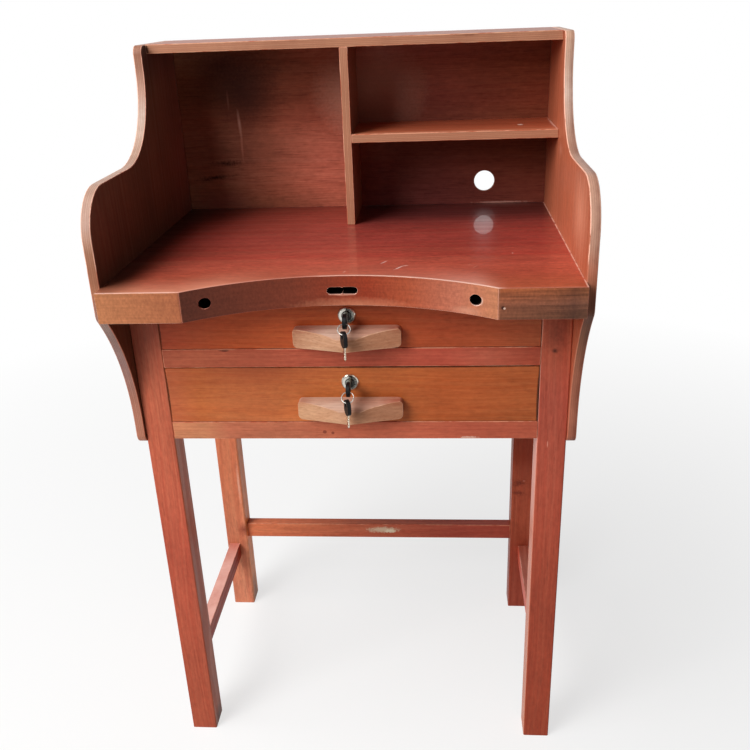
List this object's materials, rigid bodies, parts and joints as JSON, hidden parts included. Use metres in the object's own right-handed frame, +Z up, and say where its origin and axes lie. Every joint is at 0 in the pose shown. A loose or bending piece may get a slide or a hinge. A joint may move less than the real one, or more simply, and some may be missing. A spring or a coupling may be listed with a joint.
{
  "type": "jewelers bench",
  "caption": "Jeweller's workbench with scalloped worktop, locking drawers, S-curved side panels and an open cabinet at the back.",
  "frame": {"origin": "on the floor under the middle of the bench", "axes": "+Z up, front towards -Y, +X to the right of a person facing the front"},
  "size_m": [0.6, 0.448, 1.038],
  "materials": {
    "panel_ply": "red-brown stain under gloss varnish, pale ply edges",
    "leg_wood": "red stain under gloss varnish",
    "worktop_wood": "red stain under high-gloss varnish",
    "front_wood": "orange-brown stain under gloss varnish",
    "pull_wood": "pale, satin varnish",
    "raw_wood": "bare planed wood",
    "chrome": "bright plated",
    "steel": "plain steel",
    "nickel": "nickel-plated key blade",
    "black_plastic": "moulded"
  },
  "bodies": {
    "frame": {"front_leg_left": "leg_wood", "back_leg_left": "leg_wood", "front_leg_right": "leg_wood", "back_leg_right": "leg_wood", "side_stretcher_left": "leg_wood", "side_stretcher_right": "leg_wood", "back_stretcher": "leg_wood", "side_panel_left": "panel_ply", "side_panel_right": "panel_ply", "worktop": "worktop_wood", "top_board": "panel_ply", "back_panel": "panel_ply", "divider": "panel_ply", "right_shelf": "panel_ply", "middle_rail": "leg_wood", "bottom_rail": "leg_wood", "upper_runner_left": "raw_wood", "upper_runner_right": "raw_wood", "lower_runner_left": "raw_wood", "lower_runner_right": "raw_wood", "case_back": "panel_ply"},
    "upper_drawer": {"upper_drawer_front": "front_wood", "upper_drawer_side_left": "raw_wood", "upper_drawer_side_right": "raw_wood", "upper_drawer_back": "raw_wood", "upper_drawer_bottom": "raw_wood", "upper_pull": "pull_wood", "upper_pull_screw_left": "steel", "upper_pull_screw_right": "steel", "upper_lock_case": "chrome", "upper_lock_collar": "chrome"},
    "upper_key": {"upper_lock_plug": "chrome", "upper_key_blade": "nickel", "upper_key_bow": "black_plastic"},
    "upper_bolt": {"upper_lock_bolt": "steel"},
    "upper_key_ring": {"upper_key_ring": "steel", "upper_spare_blade": "nickel", "upper_spare_bow": "black_plastic"},
    "lower_drawer": {"lower_drawer_front": "front_wood", "lower_drawer_side_left": "raw_wood", "lower_drawer_side_right": "raw_wood", "lower_drawer_back": "raw_wood", "lower_drawer_bottom": "raw_wood", "lower_pull": "pull_wood", "lower_pull_screw_left": "steel", "lower_pull_screw_right": "steel", "lower_lock_case": "chrome", "lower_lock_collar": "chrome"},
    "lower_key": {"lower_lock_plug": "chrome", "lower_key_blade": "nickel", "lower_key_bow": "black_plastic"},
    "lower_bolt": {"lower_lock_bolt": "steel"},
    "lower_key_ring": {"lower_key_ring": "steel", "lower_spare_blade": "nickel", "lower_spare_bow": "black_plastic"}
  },
  "joints": [
    {"name": "upper_drawer_slide", "type": "slide", "parent": "frame", "child": "upper_drawer", "axis": [0, -1, 0], "range_m": [0, 0.25]},
    {"name": "upper_key_turn", "type": "hinge", "parent": "upper_drawer", "child": "upper_key", "pos_m": [0, -0.132, 0.715], "axis": [0, 1, 0], "range_deg": [0, 180]},
    {"name": "upper_bolt_lift", "type": "slide", "parent": "upper_drawer", "child": "upper_bolt", "axis": [0, 0, 1], "range_m": [0, 0.0093]},
    {"name": "upper_ring_swing", "type": "hinge", "parent": "upper_key", "child": "upper_key_ring", "pos_m": [0, -0.16217, 0.71401], "axis": [-1, 0, 0], "range_deg": [0, 70]},
    {"name": "lower_drawer_slide", "type": "slide", "parent": "frame", "child": "lower_drawer", "axis": [0, -1, 0], "range_m": [0, 0.25]},
    {"name": "lower_key_turn", "type": "hinge", "parent": "lower_drawer", "child": "lower_key", "pos_m": [0, -0.132, 0.621], "axis": [0, 1, 0], "range_deg": [0, 180]},
    {"name": "lower_bolt_lift", "type": "slide", "parent": "lower_drawer", "child": "lower_bolt", "axis": [0, 0, 1], "range_m": [0, 0.0093]},
    {"name": "lower_ring_swing", "type": "hinge", "parent": "lower_key", "child": "lower_key_ring", "pos_m": [0, -0.16217, 0.62001], "axis": [-1, 0, 0], "range_deg": [0, 70]}
  ],
  "couplings": [
    {"joint": "upper_bolt_lift", "follows": "upper_key_turn", "m_per_rad": 0.0029285},
    {"joint": "lower_bolt_lift", "follows": "lower_key_turn", "m_per_rad": 0.0029285}
  ]
}
